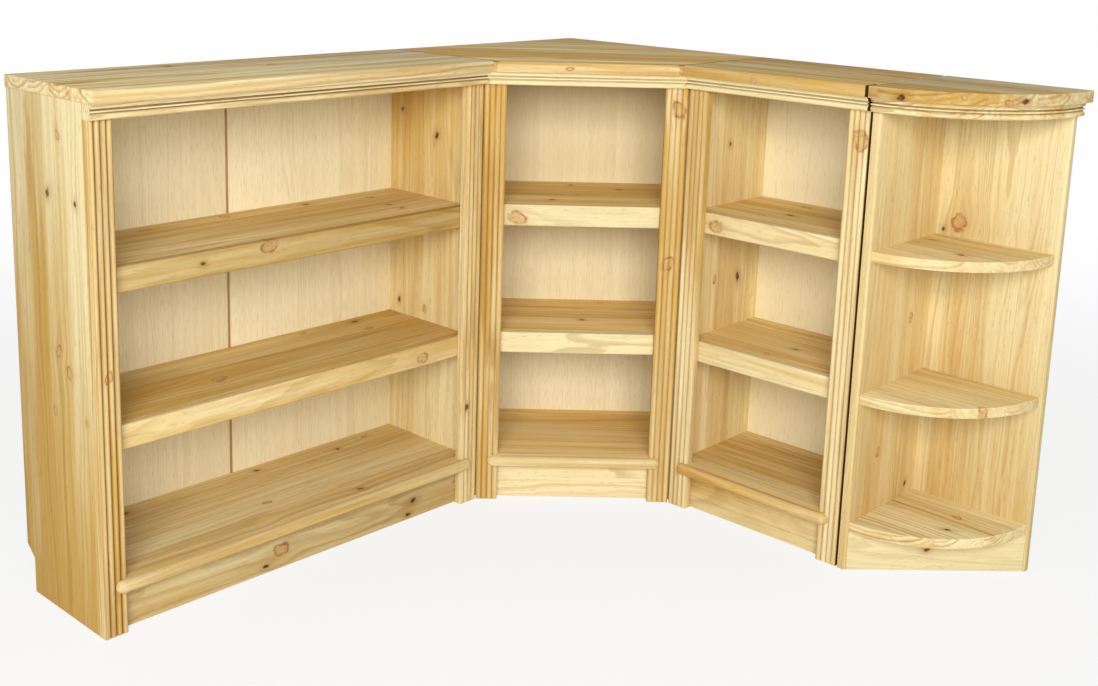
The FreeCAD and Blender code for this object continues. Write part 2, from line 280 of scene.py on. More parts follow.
RUNS = {"left": Y, "right": X, "corner": SLANT, "end": X}
OUTS = {"left": X, "right": -Y, "corner": SLANT_OUT, "end": -Y}
SIDE_FACES = {"left": -Y, "right": X, "end": X}
FLAT = ("top_board", "bottom_board", "lower_shelf", "upper_shelf", "bottom_shelf", "cornice_board")
UPRIGHT = ("side", "side_panel", "pilaster", "back_panel", "back_strip", "joint_strip")
WHOLE = 1.0
TIMBER = {
    "top_board": Timber(78 * mm, 0.65, 0.9, 0.6, 11 * mm, 0.66, 1.5 * mm),
    "bottom_board": Timber(96 * mm, 0.50, 0.5, 0.3, 9 * mm, 0.45, 1.2 * mm),
    "shelf": Timber(96 * mm, 0.60, 0.5, 0.3, 9 * mm, 0.45, 1.2 * mm),
    "lip": Timber(WHOLE, 0.22, 0.5, 0.2, 4 * mm, 0.5, 1.0 * mm),
    "plinth": Timber(WHOLE, 0.22, 0.55, 0.2, 4 * mm, 0.45, 1.0 * mm),
    "cornice": Timber(WHOLE, 0.05, 0.6, 0.2, 6 * mm, 0.40, 0.6 * mm),
    "bead_rail": Timber(WHOLE, 0.75, 0.7, 0.2, 6 * mm, 0.45, 0.8 * mm),
    "pilaster": Timber(WHOLE, 0.50, 0.8, 0.2, 6 * mm, 0.55, 0.8 * mm),
    "side": Timber(66 * mm, 0.50, 0.45, 0.35, 7 * mm, 0.28, 1.2 * mm),
    "left_outer_side": Timber(64 * mm, 0.80, 0.5, 0.5, 7 * mm, 0.42, 1.2 * mm),
    "side_panel": Timber(72 * mm, 0.40, 0.3, 0.2, 6 * mm, 0.28, 1.2 * mm),
    "back_panel": Timber(84 * mm, 0.20, 0.38, 0.3, 5 * mm, 0.36, 1.2 * mm),
    "bottom_shelf": Timber(84 * mm, 0.45, 0.6, 0.3, 8 * mm, 0.60, 1.8 * mm),
    "cornice_board": Timber(90 * mm, 0.25, 0.7, 0.3, 6 * mm, 0.70, 0.6 * mm),
}

# Boards that differ from their kind: tone from pale to gold, its slope along the board, lightness; these
# are partly the wood's own tone and partly painted light and shade, boards lightened where little light
# reaches them and darkened where much does, and tone sloping along a board where the light falls off
TONES_AND_PAINTED_LIGHT = {
    "left_top_board": Shade(0.25),
    "left_outer_side": Shade(0.7, -1.1, 0.915),
    "left_inner_side": Shade(0.35, 0.9, 1.03),
    "left_outer_pilaster": Shade(0.6),
    "left_inner_pilaster": Shade(0.55),
    "left_upper_shelf": Shade(0.5),
    "left_lower_shelf": Shade(0.75),
    "left_bottom_board": Shade(0.4),
    "left_upper_shelf_lip": Shade(1.0, 0.3, 0.77),
    "left_lower_shelf_lip": Shade(0.7, 0.2),
    "left_plinth": Shade(0.6, 0.0, 0.79),
    "left_bead_rail": Shade(0.65, 0.0, 0.92),
    "corner_top_board": Shade(0.85, 0.0, 1.1),
    "corner_bead_rail": Shade(0.35),
    "corner_left_pilaster": Shade(0.85),
    "corner_right_pilaster": Shade(0.9),
    "corner_upper_shelf": Shade(0.6, 0.0, 1.25),
    "corner_lower_shelf": Shade(0.6, 0.0, 1.33),
    "corner_bottom_board": Shade(0.5, 0.0, 1.38),
    "corner_upper_shelf_lip": Shade(-0.2, 0.0, 0.9),
    "corner_lower_shelf_lip": Shade(-0.3, 0.0, 0.97),
    "corner_plinth": Shade(-0.2),
    "corner_flat_back_panel": Shade(0.55, 1.2),
    "right_top_board": Shade(0.65, 0.0, 0.92),
    "right_inner_side": Shade(0.33, 0.0, 1.1),
    "right_inner_pilaster": Shade(0.65),
    "right_outer_pilaster": Shade(0.5),
    "right_upper_shelf": Shade(0.62, 0.0, 1.15),
    "right_lower_shelf": Shade(0.5, 0.0, 1.2),
    "right_bottom_board": Shade(0.6, 0.0, 1.06),
    "right_plinth": Shade(0.55, 0.0, 0.95),
    "right_back_panel": Shade(-0.6, 0.0, 1.03),
    "end_top_board": Shade(0.65, 0.0, 0.85),
    "end_side_panel": Shade(0.4, -0.4),
    "end_back_panel": Shade(0.3, -0.5, 0.94),
    "end_upper_shelf": Shade(0.35),
    "end_lower_shelf": Shade(0.4),
    "end_bottom_shelf": Shade(0.28),
    "end_plinth": Shade(0.22, 0.0, 0.9),
}

# The thin backs
BACK = Timber(150 * mm, 0.25, 1.1, 0.2, 5 * mm, 0.26, 0.3 * mm)

CORNER_TOP = "corner_top_board"

# Boards whose front stave differs from the rest, by a change of tone and of lightness; the lower
# lightness is painted shade that tones down the brightly lit front edge
FRONT_STAVE_TONE_AND_SHADE = {CORNER_TOP: Shade(0.05, lightness=-0.135)}
FRONT_STAVE = (45 * mm, 42 * mm)

# Where the corner top meets the next ones in a thin dark line: the other top, its direction and its end
JOINED_TOPS = ("left_top_board", "right_top_board", CORNER_TOP)
TOP_JOINTS = (("left_top_board", Y, 1), ("right_top_board", X, 0))
TOP_JOINT_WIDTH = 3.6 * mm
TOP_JOINT_SHADE = 0.9

# Boards of the right bookcase with a face in the gap beside the end unit, where painted shadow darkens
# that face
GAP_SHADOW_BOARDS = ("right_top_board", "right_cornice", "right_outer_pilaster")

# Patterns in the wood: waves per metre along, across and through a board, detail and roughness
DRIFT = Pattern((1.0, 6.0, 6.0), 2.5, 0.5)
TREMBLE = Pattern((7.0, 40.0, 40.0), 2.0, 0.5)
BROAD = Pattern((1.4, 16.0, 16.0), 2.0, 0.5)
STREAK = Pattern((1.8, 80.0, 80.0), 3.0, 0.6)
FIBRES = Pattern((7.0, 320.0, 320.0), 2.0, 0.6)
RIPPLE = Pattern((45.0, 60.0, 60.0), 2.0, 0.5)
FLECKS = Pattern((45.0, 360.0, 360.0), 2.0, 0.5)
BACK_FLECKS = Pattern((40.0, 420.0, 420.0), 2.0, 0.5)
RAGGED = Pattern((130.0, 170.0, 170.0), 2.0, 0.5)
PATCH = Pattern((45.0, 45.0, 45.0), 1.0, 0.5)
MOTTLE = Pattern((160.0, 160.0, 160.0), 3.0, 0.6)
ROD_FIBRES = Pattern((300.0, 300.0, 12.0), 3.0, 0.6)
TARNISH = Pattern((900.0, 900.0, 900.0), 2.0, 0.6)

# Growth rings: the widest log, where its heart lies behind each stave, and how the rings wander
LOG_WIDTH = 120 * mm
HEART_ASIDE = (-0.6, 0.6)
HEART_DEPTH = (25 * mm, 100 * mm)
RING_DRIFT = (-30 * mm, 30 * mm)
RING_TREMBLE = (-2.5 * mm, 2.5 * mm)
LOG_TAPER = (-0.015, 0.015)

# One year's ring: where late wood starts and ends, and its strength; numbers that set staves apart
LATE_START = (0.2, 0.8)
LATE_END = (1.0, 0.88)
LATE_STRENGTH = (0.1, 1.0)
STAVE_STRIDE = 31.7
STAVE_CHANCES = 50
SEED_REACH = 9

# How strongly each pattern shows in the colour
BROAD_FIGURE = (-1.4, 1.4)
STREAK_FIGURE = (-1.3, 1.3)
FIBRE_LIGHTNESS = (0.875, 1.125)
FLECK_EDGES = (0.58, 0.74)
FLECK_SHADE = 0.32
BACK_FLECK_EDGES = (0.5, 0.7)
BACK_FLECK_SHADE = 0.38
SEAM_WIDTH = 0.8 * mm
SEAM_SHADE = 0.2

# Depths at which a mask starts and is full: upper faces of tops, faces in the gap with painted shadow,
# rear half of a back
UPPER_FACE = (3 * mm, 1 * mm)
GAP_SHADOW_EDGES = (1.5 * mm, 0.3 * mm)
REAR_HALF = (0.5 * mm, -0.5 * mm)

# Gloss and relief of the surfaces
MATT = {"Specular IOR Level": 0.03}
PINE_ROUGHNESS = (0.52, 0.72)
LATE_POLISH = 0.08
BACK_ROUGHNESS = (0.525, 0.675)
ROD_ROUGHNESS = (0.4, 0.6)
STEEL_ROUGHNESS = (0.3, 0.6)
RELIEF_STRENGTH = 0.6
PINE_RELIEF = 0.5 * mm
FIBRE_RISE = 0.5
LATE_SINK = 0.35
BACK_RELIEF = 0.15 * mm
ROD_RELIEF = 0.2 * mm
STEEL_RELIEF = 0.05 * mm

# Knots seen on the boards: millimetres along and across from the board's middle, radius, and whether
# live, dead or only a swirl; a knot on the edge of a board also has its level through the board
LIVE = 0
DEAD = 1
SWIRL = 2
KNOTS = {
    "left_outer_side": ((330, -5, 6, DEAD), (325, -105, 4, DEAD), (445, -50, 5, LIVE),
                        (30, -25, 9, LIVE), (-5, -60, 8, LIVE), (-95, 0, 6, LIVE),
                        (-90, -120, 5, LIVE)),
    "left_top_board": ((-165, 120, 7, DEAD), (30, 35, 8, LIVE)),
    "corner_top_board": ((-42, -340, 4.5, LIVE, -2),),
    "corner_upper_shelf": ((-10, 95, 5, DEAD), (105, 50, 5, DEAD), (-5, -20, 6, LIVE),
                           (-65, -95, 5, DEAD)),
    "corner_upper_shelf_lip": ((-150, -5, 15, LIVE),),
    "corner_lower_shelf": ((75, 115, 6, LIVE), (20, -45, 5, DEAD)),
    "corner_bottom_board": ((-150, 95, 9, SWIRL),),
    "corner_plinth": (),
    "right_top_board": ((-40, -164, 5, LIVE, -5),),
    "end_top_board": ((-90, -158, 6, DEAD, -5), (20, -113, 4, LIVE, 2), (85, -56, 6, LIVE, -6),
                      (105, -30, 6, DEAD, -2)),
    "left_upper_shelf": ((-25, 100, 9, LIVE), (-225, 90, 7, LIVE), (190, 95, 5, DEAD),
                         (335, -25, 4, DEAD), (335, -70, 4, DEAD), (355, 65, 6, LIVE)),
    "left_upper_shelf_lip": ((-245, 3, 4, DEAD), (-85, 14, 11, LIVE)),
    "left_inner_side": ((-70, 100, 4, DEAD), (-75, 10, 5, LIVE), (350, -25, 6, DEAD),
                        (400, 95, 3.5, DEAD)),
    "left_lower_shelf": ((-140, -40, 11, LIVE), (340, 100, 5, DEAD), (190, 105, 6, LIVE),
                         (330, 35, 7, LIVE)),
    "left_lower_shelf_lip": ((-330, 6, 14, SWIRL), (335, -4, 9, LIVE)),
    "left_bottom_board": ((270, 100, 5, DEAD), (370, 118, 5, LIVE), (50, 120, 4, DEAD),
                          (-295, 115, 6, DEAD), (160, -85, 12, SWIRL), (160, -118, 5, DEAD),
                          (-105, -110, 12, SWIRL), (-40, -40, 5, LIVE)),
    "left_outer_pilaster": ((20, 0, 7, LIVE),),
    "left_inner_pilaster": ((-260, 10, 5, DEAD),),
    "left_plinth": ((-65, -4, 13, LIVE), (-105, -30, 4, DEAD), (310, -4, 6, DEAD), (295, -34, 4, DEAD)),
    "corner_right_pilaster": ((447, -6, 13, LIVE), (90, 4, 12, LIVE)),
    "right_inner_side": ((345, 13, 3.5, DEAD), (25, 45, 6, LIVE), (15, -50, 6, DEAD)),
    "right_upper_shelf": ((-60, 85, 6, LIVE), (-35, -20, 5, DEAD), (-80, -70, 5, LIVE)),
    "right_lower_shelf": ((6, -28, 4, DEAD), (-20, -105, 5, LIVE), (45, 105, 5, LIVE)),
    "right_bottom_board": ((-120, 90, 8, SWIRL),),
    "right_plinth": (),
    "right_upper_shelf_lip": ((-150, -3, 13, LIVE),),
    "right_outer_pilaster": ((435, -6, 13, LIVE),),
    "end_back_panel": ((240, 85, 14, LIVE), (220, 120, 4, DEAD), (215, -40, 8, SWIRL),
                       (225, 35, 7, SWIRL)),
    "end_side_panel": ((30, -50, 8, LIVE), (-255, 45, 6, LIVE), (-365, -90, 5, DEAD)),
    "end_upper_shelf": ((5, -20, 5, DEAD), (-100, 65, 5, LIVE)),
    "end_lower_shelf": ((95, -25, 9, LIVE),),
    "end_bottom_shelf": ((30, -15, 5, DEAD), (15, 60, 7, LIVE)),
    "end_plinth": ((-20, 5, 5, DEAD), (-40, -25, 7, SWIRL)),
}

# Chance knots of other boards, in millimetres, and in shares of the board's length and width
NARROW = 60
MOST_CHANCE_KNOTS = 2
CHANCE_RADII = {LIVE: (4, 8), DEAD: (2.5, 4.5)}
CHANCE_ALONG = 0.46
CHANCE_ACROSS = 0.4
WIDEST_CHANCE_KNOT = 1 / 6

# Form of a knot: its stretch along the grain, its lean, and how far and how much it bends the grain
KNOT_STRETCH = (1.1, 1.8)
KNOT_LEAN = (-0.5, 0.5)
KNOT_PUSH = 0.75
KNOT_REACH = 2.4

# Colours of a knot, by distance in radii: halo, heart, and the broken rim of a live one
KNOT_RIPPLE = (-0.75, 0.75)
RAGGED_SPOTS = (0.4, 0.65)
LIVE_RAGGED = (-0.2, 0.2)
LIVE_HALO = 2.2
LIVE_HALO_SHADE = 0.4
LIVE_HEART = (1.3, 0.8)
LIVE_HEART_SHADE = 0.65
HEART_WAVES = 13.0
HEART_RINGS = (0.2, 0.8)
RIM_INSIDE = (0.7, 1.0)
RIM_OUTSIDE = (1.4, 1.05)
RIM_PATCHES = (0.4, 0.6)
RIM_SHADE = (0.3, 0.8)
DEAD_RIPPLE = 0.5
DEAD_RAGGED = (-0.7, 0.7)
DEAD_HALO = 2.4
DEAD_HALO_SHADE = 0.5
DEAD_HEART = (1.3, 0.55)
DEAD_HEART_SHADE = 0.95


def unit_of(node):
    return node.split("_")[0]


def kind_of(node, kinds):
    """The longest of the kinds that the node's name ends in."""
    fitting = [kind for kind in kinds if node.endswith(kind)]
    return max(fitting, key=len, default=None)


def is_thin_back(node):
    return unit_of(node) != "end" and node.endswith(("back_panel", "back_strip"))


def grain_of(node):
    unit = unit_of(node)
    if node == "end_plinth":
        return Grain(SLANT, SLANT_OUT)
    if node == "corner_left_side":
        return Grain(Z, Y)
    if node == "corner_right_side":
        return Grain(Z, -X)
    if node == "corner_left_back_strip":
        return Grain(Z, X)
    if node == "corner_right_back_strip":
        return Grain(Z, -Y)
    if node.endswith(("side", "side_panel")):
        return Grain(Z, SIDE_FACES[unit])
    if kind_of(node, UPRIGHT):
        return Grain(Z, OUTS[unit])
    if kind_of(node, FLAT):
        return Grain(RUNS[unit], Z)
    return Grain(RUNS[unit], OUTS[unit])


def board_axes(node):
    """Directions of a board: along the grain, across it and through the board."""
    grain = grain_of(node)
    return grain.along, grain.through.cross(grain.along), grain.through


def board_span(node, axis):
    reach = [axis.dot(vertex.co) for vertex in nodes[node].data.vertices]
    return min(reach), max(reach)


def board_size(node):
    spans = [board_span(node, axis) for axis in board_axes(node)]
    return Vector([high - low for low, high in spans])


def board_matrix(node):
    """Places a board's own coordinates in the frame, from its middle."""
    axes = board_axes(node)
    middle = sum((axis * sum(board_span(node, axis)) / 2 for axis in axes), Vector())
    return Matrix.Translation(middle) @ Matrix(axes).transposed().to_4x4()


def chance_knots(node, chance):
    """A few small knots for a board whose own are not known."""
    length, width, _ = board_size(node) / mm
    knots = []
    for _ in range(chance.randint(0, MOST_CHANCE_KNOTS) if width > NARROW else 0):
        kind = chance.choice((LIVE, DEAD))
        radius = chance.uniform(*CHANCE_RADII[kind])
        place = chance.uniform(-CHANCE_ALONG, CHANCE_ALONG) * length
        offset = chance.uniform(-CHANCE_ACROSS, CHANCE_ACROSS) * width
        knots.append((place, offset, min(radius, width * WIDEST_CHANCE_KNOT), kind))
    return knots


class Board(Finish):
    """A wooden finish in a board's own coordinates, with knots that bend its grain."""

    def __init__(self, name, node, knots, chance):
        super().__init__(name)
        matrix = board_matrix(node)
        along, across, through = self.split(self.local(matrix.translation, matrix.to_euler()))
        self.along = along
        self.through = through
        self.live = None
        self.dead = None
        bent = across
        for place, offset, radius, kind, *level in knots:
            aside = across - offset * mm
            leaning = along - place * mm + aside * chance.uniform(*KNOT_LEAN)
            ahead = leaning / chance.uniform(*KNOT_STRETCH)
            depth = through - level[0] * mm if level else 0.0
            away = self.vector("LENGTH", self.join(ahead, aside, depth), output="Value")
            bent = bent - aside * away.bell(KNOT_REACH * radius * mm) * KNOT_PUSH
            near = away * (1 / (radius * mm))
            if kind == DEAD:
                self.dead = self.dead.least(near) if self.dead else near
            if kind == LIVE:
                self.live = self.live.least(near) if self.live else near
        self.across = bent
        self.aside = across
        seed = Vector([chance.uniform(-SEED_REACH, SEED_REACH) for _ in range(3)])
        self.spot = self.vector("ADD", self.join(along, across, through), seed)
        self.grain = self.vector("ADD", self.join(along, bent, through), seed)

    def rings(self, timber, chance):
        """Late wood of the growth rings, and a chance colour for each stave of the board."""
        count = self.across / timber.stave + chance.uniform(0, STAVE_CHANCES)
        index = count.floor()
        inside = count - index - 0.5
        luck = self.node("ShaderNodeSeparateColor", {}, [self.chance(index, "Color")])
        pith = (inside - luck.between(*HEART_ASIDE)) * min(timber.stave, LOG_WIDTH)
        depth = self.through - luck.out("Green").between(*HEART_DEPTH)
        radius = self.vector("LENGTH", self.join(pith, depth), output="Value")
        drift = self.noise(self.grain, DRIFT).between(*RING_DRIFT)
        tremble = self.noise(self.grain, TREMBLE).between(*RING_TREMBLE)
        taper = self.along * luck.out("Blue").between(*LOG_TAPER)
        years = (radius + drift + tremble + taper) / timber.ring
        year = years.floor()
        season = years - year
        luck_of_year = self.chance(year + index * STAVE_STRIDE)
        strength = (luck_of_year * luck_of_year).between(*LATE_STRENGTH)
        late = season.step(*LATE_START) * season.step(*LATE_END) * strength
        seam = inside.maths("ABSOLUTE", inside).step(0.5 - SEAM_WIDTH / timber.stave, 0.5)
        return late, seam, luck.out("Blue")

    def front_stave(self, node):
        """The first stave of a flat board, along its front edge."""
        edge = board_size(node).y / -2
        return self.aside.step(*[edge + width for width in FRONT_STAVE])

    def top_joints(self, node):
        """The thin lines where a top meets the next ones, on its upper face."""
        upper = board_size(node).z / 2
        face = self.through.step(*[upper - depth for depth in UPPER_FACE])
        lines = []
        for top, axis, end in TOP_JOINTS:
            if node in (top, CORNER_TOP):
                place = self.vector("DOT_PRODUCT", self.place(), axis, output="Value")
                lines.append((place - board_span(top, axis)[end]).bell(TOP_JOINT_WIDTH))
        return sum(lines) * face

    def painted_gap_shadow(self, node):
        """Painted shadow, near black, on the face that a board turns to the gap beside the end unit."""
        reach = board_size(node).x / 2 if grain_of(node).along == X else board_size(node).y / 2
        place = self.along if grain_of(node).along == X else self.aside * -1.0
        dark = place.step(*[reach - depth for depth in GAP_SHADOW_EDGES])
        return dark * self.front_stave(node) if kind_of(node, FLAT) else dark

    def knotted(self, colour):
        """Knots over the wood: ringed ones that grew in, and small dark dead ones."""
        ripple = self.noise(self.spot, RIPPLE).between(*KNOT_RIPPLE)
        ragged = self.noise(self.spot, RAGGED)
        spots = ragged.step(*RAGGED_SPOTS)
        if self.live:
            live = self.live + ripple + ragged.between(*LIVE_RAGGED)
            colour = self.blend(live.bell(LIVE_HALO) * LIVE_HALO_SHADE, colour, KNOT_HALO)
            waves = live * HEART_WAVES
            rings = waves.maths("SINE", waves) * 0.5 + 0.5
            heart = self.blend(rings.between(*HEART_RINGS) * spots, KNOT_HALO, LIVE_KNOT)
            colour = self.blend(live.step(*LIVE_HEART) * LIVE_HEART_SHADE, colour, heart)
            rim = live.step(*RIM_INSIDE) * live.step(*RIM_OUTSIDE)
            patch = self.noise(self.spot, PATCH).step(*RIM_PATCHES)
            colour = self.blend(rim * patch.between(*RIM_SHADE), colour, LIVE_KNOT)
        if self.dead:
            dead = self.dead + ripple * DEAD_RIPPLE + ragged.between(*DEAD_RAGGED)
            colour = self.blend(dead.bell(DEAD_HALO) * DEAD_HALO_SHADE, colour, LATE_WOOD)
            heart = self.blend(spots, DEAD_KNOT, RED_KNOT)
            colour = self.blend(dead.step(*DEAD_HEART) * DEAD_HEART_SHADE, colour, heart)
        return colour


def pine(node, timber):
    """Solid pine: growth rings round the pith of each stave, knots that the grain flows round."""
    chance = random.Random(node)
    knots = KNOTS[node] if node in KNOTS else chance_knots(node, chance)
    wood = Board(node + "_pine", node, knots, chance)
    late, seam, luck = wood.rings(timber, chance)
    broad = wood.noise(wood.grain, BROAD)
    streak = wood.noise(wood.grain, STREAK)
    fibres = wood.noise(wood.grain, FIBRES)
    figure = (broad.between(*BROAD_FIGURE) + streak.between(*STREAK_FIGURE)) * timber.figure
    # Tone, its slope and the lightness of each board: partly the wood's own colour, partly painted light
    # and shade that lightens or darkens a board, or one end of it, as light would
    shade = TONES_AND_PAINTED_LIGHT.get(node, Shade(timber.tone))
    tone = figure + (luck - 0.5) * timber.stripes + wood.along * shade.slope + shade.tone
    lightness = fibres.between(*FIBRE_LIGHTNESS)
    # The front stave's own tone, and painted shade that darkens its lit front edge
    if node in FRONT_STAVE_TONE_AND_SHADE:
        front = wood.front_stave(node)
        tone = tone + front * FRONT_STAVE_TONE_AND_SHADE[node].tone
        lightness = lightness + front * FRONT_STAVE_TONE_AND_SHADE[node].lightness
    colour = wood.blend(tone, PALE_WOOD, GOLD_WOOD)
    colour = wood.blend(late * timber.contrast, colour, LATE_WOOD)
    flecks = wood.noise(wood.grain, FLECKS).step(*FLECK_EDGES)
    colour = wood.blend(flecks * FLECK_SHADE, colour, LATE_WOOD)
    colour = wood.knotted(colour)
    colour = wood.blend(seam * SEAM_SHADE, colour, LATE_WOOD)
    colour = wood.scaled(colour, lightness * shade.lightness)
    wear = TOP_WEAR if node.endswith("top_board") else EDGE_WEAR
    colour = wood.blend(wood.attribute("worn_edge") * broad * wear, colour, WORN_EDGE)
    # Stain and painted shade in the grooves of pilasters and cornices
    if node.endswith(("pilaster", "cornice", "cornice_board")):
        depth = GROOVE_DEPTHS.get(node, GROOVE_DEPTH)
        colour = wood.blend(wood.attribute("groove") * depth, colour, STAIN_SHADE_AND_JOINT_BROWN)
    if node in JOINED_TOPS:
        colour = wood.blend(wood.top_joints(node) * TOP_JOINT_SHADE, colour, STAIN_SHADE_AND_JOINT_BROWN)
    # Painted shadow, near black, on faces in the gap beside the end unit
    if node in GAP_SHADOW_BOARDS:
        colour = wood.blend(wood.painted_gap_shadow(node), colour, GAP_SHADOW)
    roughness = fibres.between(*PINE_ROUGHNESS) - late * LATE_POLISH
    height = fibres * FIBRE_RISE - late * LATE_SINK
    return wood.surface(colour, roughness, height, PINE_RELIEF, **MATT)


def pale_back(node):
    """Thin back: pale face with a faint upright grain, plain brown board behind."""
    chance = random.Random(node)
    wood = Board(node + "_pale", node, (), chance)
    late, _, luck = wood.rings(BACK, chance)
    streak = wood.noise(wood.grain, STREAK)
    fibres = wood.noise(wood.grain, FIBRES)
    # Tone, slope and lightness of a back: partly its own colour, partly painted light and shade that
    # lightens or darkens a back, or one end of it
    shade = TONES_AND_PAINTED_LIGHT.get(node, Shade(BACK.tone))
    tone = ((streak - 0.5) * BACK.figure + (luck - 0.5) * BACK.stripes
            + wood.along * shade.slope + shade.tone)
    colour = wood.blend(tone, PALE_BACK, BACK_FIBRE)
    colour = wood.blend(late * BACK.contrast, colour, BACK_LATE)
    flecks = wood.noise(wood.grain, BACK_FLECKS).step(*BACK_FLECK_EDGES)
    colour = wood.blend(flecks * BACK_FLECK_SHADE, colour, BACK_LATE)
    colour = wood.scaled(colour, shade.lightness)
    rear = wood.blend(wood.noise(wood.grain, MOTTLE), BACK_REAR, BACK_FIBRE)
    colour = wood.blend(wood.through.step(*REAR_HALF), colour, rear)
    return wood.surface(colour, fibres.between(*BACK_ROUGHNESS), fibres, BACK_RELIEF, **MATT)


def plain_wood(name, colour, other):
    finish = Finish(name)
    fibres = finish.noise(finish.place(), ROD_FIBRES)
    mixed = finish.blend(fibres, colour, other)
    return finish.surface(mixed, fibres.between(*ROD_ROUGHNESS), fibres, ROD_RELIEF)


def nail_steel():
    finish = Finish("nail_steel")
    dull = finish.noise(finish.place(), TARNISH)
    mixed = finish.blend(dull, NAIL_STEEL, DULL_STEEL)
    return finish.surface(mixed, dull.between(*STEEL_ROUGHNESS), dull, STEEL_RELIEF, Metallic=1.0)


# Pieces

def linked(name, mesh):
    piece = bpy.data.objects.new(name, mesh)
    bpy.context.scene.collection.objects.link(piece)
    return piece


def softened(node, name, rounding):
    """A copy of a solid as whole faces, with its sharp outer edges rounded over."""
    shape = bmesh.new()
    shape.from_mesh(nodes[node].data)
    bmesh.ops.remove_doubles(shape, verts=shape.verts, dist=MERGE_DISTANCE)
    bmesh.ops.dissolve_limit(shape, angle_limit=LEVEL_ANGLE, verts=shape.verts, edges=shape.edges)
    for face in shape.faces:
        face.smooth = any(LEVEL_ANGLE < edge.calc_face_angle(0) < SHARP_ANGLE for edge in face.edges)
    sharp = [edge for edge in shape.edges if edge.calc_face_angle(0) > SHARP_ANGLE]
    worn = shape.faces.layers.float.new("worn_edge")
    groove = shape.faces.layers.float.new("groove")
    # Faces along inner creases get the groove mark: stain and painted shade in the crease
    for edge in sharp:
        for face in edge.link_faces:
            face[groove] = max(face[groove], 0.0 if edge.is_convex else 1.0)
    outer = [edge for edge in sharp if edge.is_convex and edge.calc_length() > SHORT_EDGE]
    rounded = bmesh.ops.bevel(shape, geom=outer, offset=rounding, offset_type="OFFSET",
                              segments=EDGE_STEPS, profile=EDGE_ROUND, affect="EDGES", clamp_overlap=True)
    for face in rounded["faces"]:
        face[worn] = 1.0
        face[groove] = 0.0
        face.smooth = True
    mesh = bpy.data.meshes.new(name)
    shape.to_mesh(mesh)
    shape.free()
    mesh.set_sharp_from_angle(angle=SHARP_ANGLE)
    return linked(name, mesh)


def geometry_tree(name, inputs):
    """A Geometry Nodes tree with named inputs: its graph and the node that holds them."""
    tree = bpy.data.node_groups.new(name, "GeometryNodeTree")
    for label, kind in inputs:
        tree.interface.new_socket(label, in_out="INPUT", socket_type="NodeSocket" + kind)
    tree.interface.new_socket("Geometry", in_out="OUTPUT", socket_type="NodeSocketGeometry")
    graph = Graph(tree)
    return graph, graph.node("NodeGroupInput")


def reeded_tree():
    """A strip whose front is a row of half-round reeds, lying along X with its front towards Z."""
    graph, given = geometry_tree("reeded_strip", (
        ("Length", "Float"), ("Width", "Float"), ("Thickness", "Float"), ("Reeds", "Int"),
        ("Rise", "Float"), ("Steps", "Int"), ("Material", "Material")))
    length, width, thickness, reeds, rise, steps = [
        given.out(name) for name in ("Length", "Width", "Thickness", "Reeds", "Rise", "Steps")]
    outline = graph.node("GeometryNodeCurvePrimitiveQuadrilateral", {"mode": "RECTANGLE"},
                         {"Width": width, "Height": thickness})
    outline = graph.node("GeometryNodeSubdivideCurve", {},
                         {"Curve": outline, "Cuts": reeds * steps - 1})
    across, depth, _ = graph.split(graph.node("GeometryNodeInputPosition"))
    half = width / reeds / 2
    count = across / (half * 2) + reeds / 2
    swing = ((count - count.floor()) * 2 - 1) * half
    bow = (half * half + rise * rise) / (rise * 2)
    hollow = bow - (bow * bow - swing * swing).root()
    # The groove mark on the front: stain and painted shade, strongest at the bottom of each hollow
    # between reeds
    inner = width * REED_INNER > across.maths("ABSOLUTE", across)
    front = thickness * -REED_INNER > depth
    shade = inner * front * hollow / rise
    outline = graph.node("GeometryNodeStoreNamedAttribute", {"data_type": "FLOAT", "domain": "POINT"},
                         {"Geometry": outline, "Name": "groove", "Value": shade})
    place = graph.join(across, depth.most(hollow - thickness / 2))
    outline = graph.node("GeometryNodeSetPosition", {}, {"Geometry": outline, "Position": place})
    path = graph.node("GeometryNodeCurvePrimitiveLine", {}, {"Start": graph.join(length * -0.5),
                                                             "End": graph.join(length * 0.5)})
    strip = graph.node("GeometryNodeCurveToMesh", {},
                       {"Curve": path, "Profile Curve": outline, "Fill Caps": True})
    strip = graph.node("GeometryNodeMergeByDistance", {},
                       {"Geometry": strip, "Distance": MERGE_DISTANCE})
    strip = graph.node("GeometryNodeRealizeInstances", {}, {"Geometry": strip})
    strip = graph.node("GeometryNodeSetMaterial", {},
                       {"Geometry": strip, "Material": given.out("Material")})
    graph.node("NodeGroupOutput", {}, [strip])
    return graph.tree


